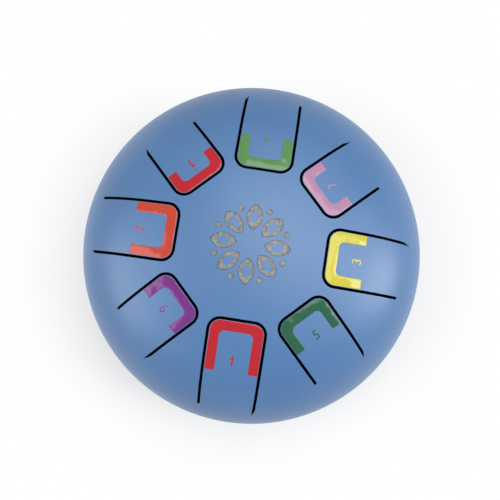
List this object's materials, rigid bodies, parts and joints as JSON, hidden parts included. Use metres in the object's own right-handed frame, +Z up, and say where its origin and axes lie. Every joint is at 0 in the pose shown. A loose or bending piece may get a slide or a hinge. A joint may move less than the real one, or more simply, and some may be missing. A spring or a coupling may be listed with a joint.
{
  "type": "steel tongue drum",
  "caption": "Small round steel tongue drum with tuned tongues cut into its domed top, coloured note bands and rubber feet, played with mallets or fingers.",
  "frame": {"origin": "centre of the floor plane under the drum's axis, level with the soles of the feet", "axes": "+Z up along the drum's axis, -Y towards the player, where the lowest note's tongue lies, +X to the player's right"},
  "size_m": [0.155, 0.155, 0.0962],
  "materials": {
    "blue_paint": "satin powder coat over steel sheet",
    "film_red": "glossy printed vinyl film",
    "film_orange": "glossy printed vinyl film",
    "film_yellow": "glossy printed vinyl film",
    "film_light_green": "glossy printed vinyl film",
    "film_dark_green": "glossy printed vinyl film",
    "film_purple": "glossy printed vinyl film",
    "film_pink": "glossy printed vinyl film",
    "black_rubber": "matt moulded rubber",
    "zinc_steel": "bright zinc plate"
  },
  "bodies": {
    "drum": {"top_shell": "blue_paint", "bottom_shell": "blue_paint", "foot_back_right": "black_rubber", "foot_back_left": "black_rubber", "foot_front_left": "black_rubber", "foot_front_right": "black_rubber", "foot_screws": "zinc_steel", "foot_cup_washers": "zinc_steel", "inner_washers": "zinc_steel", "foot_nuts": "zinc_steel"},
    "tongue_1": {"tongue_1": "blue_paint", "note_band_1": "film_red"},
    "tongue_2": {"tongue_2": "blue_paint", "note_band_2": "film_orange"},
    "tongue_3": {"tongue_3": "blue_paint", "note_band_3": "film_yellow"},
    "tongue_4": {"tongue_4": "blue_paint", "note_band_4": "film_light_green"},
    "tongue_5": {"tongue_5": "blue_paint", "note_band_5": "film_dark_green"},
    "tongue_6": {"tongue_6": "blue_paint", "note_band_6": "film_purple"},
    "tongue_7": {"tongue_7": "blue_paint", "note_band_7": "film_pink"},
    "tongue_high_1": {"tongue_high_1": "blue_paint", "note_band_high_1": "film_red"}
  },
  "joints": [
    {"name": "tongue_1_flex", "type": "hinge", "parent": "drum", "child": "tongue_1", "pos_m": [0, -0.06673, 0.07718], "axis": [1, 0, 0], "range_deg": [-1, 1], "stiffness_Nm_per_rad": 60},
    {"name": "tongue_2_flex", "type": "hinge", "parent": "drum", "child": "tongue_2", "pos_m": [-0.06301, 0, 0.08082], "axis": [0, -1, 0], "range_deg": [-1, 1], "stiffness_Nm_per_rad": 60},
    {"name": "tongue_3_flex", "type": "hinge", "parent": "drum", "child": "tongue_3", "pos_m": [0.06239, 0, 0.08134], "axis": [0, 1, 0], "range_deg": [-1, 1], "stiffness_Nm_per_rad": 60},
    {"name": "tongue_4_flex", "type": "hinge", "parent": "drum", "child": "tongue_4", "pos_m": [0, 0.06138, 0.08214], "axis": [-1, 0, 0], "range_deg": [-1, 1], "stiffness_Nm_per_rad": 60},
    {"name": "tongue_5_flex", "type": "hinge", "parent": "drum", "child": "tongue_5", "pos_m": [0.04313, -0.04313, 0.08243], "axis": [0.7071, 0.7071, 0], "range_deg": [-1, 1], "stiffness_Nm_per_rad": 60},
    {"name": "tongue_6_flex", "type": "hinge", "parent": "drum", "child": "tongue_6", "pos_m": [-0.04181, -0.04181, 0.08374], "axis": [0.7071, -0.7071, 0], "range_deg": [-1, 1], "stiffness_Nm_per_rad": 60},
    {"name": "tongue_7_flex", "type": "hinge", "parent": "drum", "child": "tongue_7", "pos_m": [0.03962, 0.03962, 0.0856], "axis": [-0.7071, 0.7071, 0], "range_deg": [-1, 1], "stiffness_Nm_per_rad": 60},
    {"name": "tongue_high_1_flex", "type": "hinge", "parent": "drum", "child": "tongue_high_1", "pos_m": [-0.03968, 0.03968, 0.08556], "axis": [-0.7071, -0.7071, 0], "range_deg": [-1, 1], "stiffness_Nm_per_rad": 60}
  ]
}
